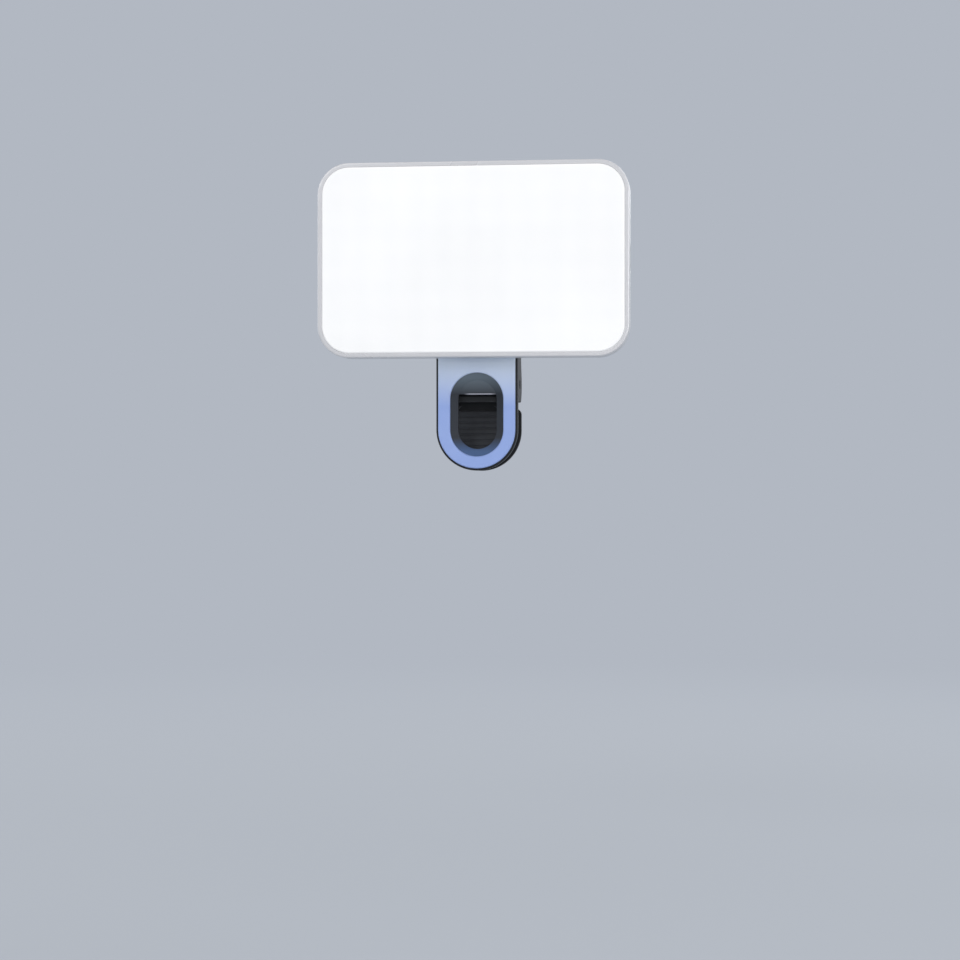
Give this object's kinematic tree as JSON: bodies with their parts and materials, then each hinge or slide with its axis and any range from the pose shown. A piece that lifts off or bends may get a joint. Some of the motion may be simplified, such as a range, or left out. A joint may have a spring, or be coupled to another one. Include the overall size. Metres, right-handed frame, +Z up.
{
  "type": "clip-on selfie light",
  "caption": "Rectangular clip-on fill light: a slim rounded lamp panel that turns on the front arm of a sprung phone clip with a window in its jaw.",
  "frame": {"origin": "where the gripped phone's front face meets its top edge, in the middle of the clip", "axes": "+X to the right seen from the front, +Y away from the viewer, from the lamp towards the clip's rear arm, +Z up"},
  "size_m": [0.113, 0.0396, 0.1114],
  "materials": {
    "clip_black": "satin moulded plastic",
    "lilac_metal": "satin lilac-blue coating",
    "soft_rubber": "matt, grooved",
    "steel": "bright zinc",
    "spring_steel": "bright wire",
    "white_nylon": "slippery washer",
    "cap_black": "fine grain",
    "hub_black": "satin",
    "silver_case": "fine silver lacquer",
    "silver_frame": "smooth silver lacquer",
    "milky_diffuser": "milky, lit from behind",
    "white_reflector": "white",
    "white_board": "white solder mask",
    "led_phosphor": "phosphor in a white package",
    "dark_screws": "black zinc",
    "battery_foil": "pouch foil",
    "lead_silicone": "silicone sleeve",
    "plug_white": "natural nylon",
    "foam_tape": "double-sided foam tape",
    "green_board": "green solder mask",
    "switch_metal": "pressed cover",
    "clear_lens": "clear",
    "port_steel": "drawn sleeve",
    "port_black": "moulded",
    "button_grey": "satin"
  },
  "bodies": {
    "clip": {"front_arm": "clip_black", "face_plate": "lilac_metal", "front_pad": "soft_rubber", "hinge_pin": "steel", "torsion_spring": "spring_steel", "friction_washer": "white_nylon", "pivot_cap": "cap_black"},
    "jaw": {"rear_arm": "clip_black", "rear_pad": "soft_rubber"},
    "lamp": {"swivel_hub": "hub_black", "keeper_washer": "steel", "pivot_screw": "steel", "hub_screws": "steel", "rear_shell": "silver_case", "front_frame": "silver_frame", "diffuser": "milky_diffuser", "reflector_frame": "white_reflector", "led_board": "white_board", "leds": "led_phosphor", "case_screws": "dark_screws", "battery": "battery_foil", "battery_tape": "foam_tape", "battery_leads": "lead_silicone", "battery_plug": "plug_white", "board_link": "port_black", "control_board": "green_board", "tact_switches": "switch_metal", "indicator_leds": "led_phosphor", "indicator_lens": "clear_lens", "usb_port": "port_steel", "usb_tongue": "port_black"},
    "power": {"power_button": "button_grey"},
    "brighter": {"brighter_button": "button_grey"},
    "dimmer": {"dimmer_button": "button_grey"}
  },
  "joints": [
    {"name": "jaw_hinge", "type": "hinge", "parent": "clip", "child": "jaw", "pos_m": [0, 0.004, 0.0065], "axis": [1, 0, 0], "range_deg": [-14.5, 20], "stiffness_Nm_per_rad": 0.12, "springref_deg": -40.11, "deforming": ["torsion_spring"]},
    {"name": "panel_spin", "type": "hinge", "parent": "clip", "child": "lamp", "pos_m": [0, -0.0055, 0.0508], "axis": [0, 1, 0], "continuous": true},
    {"name": "power_press", "type": "slide", "parent": "lamp", "child": "power", "axis": [0, -1, 0], "range_m": [0, 0.0005], "stiffness_N_per_m": 400, "springref_m": -0.001},
    {"name": "brighter_press", "type": "slide", "parent": "lamp", "child": "brighter", "axis": [0, -1, 0], "range_m": [0, 0.0005], "stiffness_N_per_m": 400, "springref_m": -0.001},
    {"name": "dimmer_press", "type": "slide", "parent": "lamp", "child": "dimmer", "axis": [0, -1, 0], "range_m": [0, 0.0005], "stiffness_N_per_m": 400, "springref_m": -0.001}
  ]
}
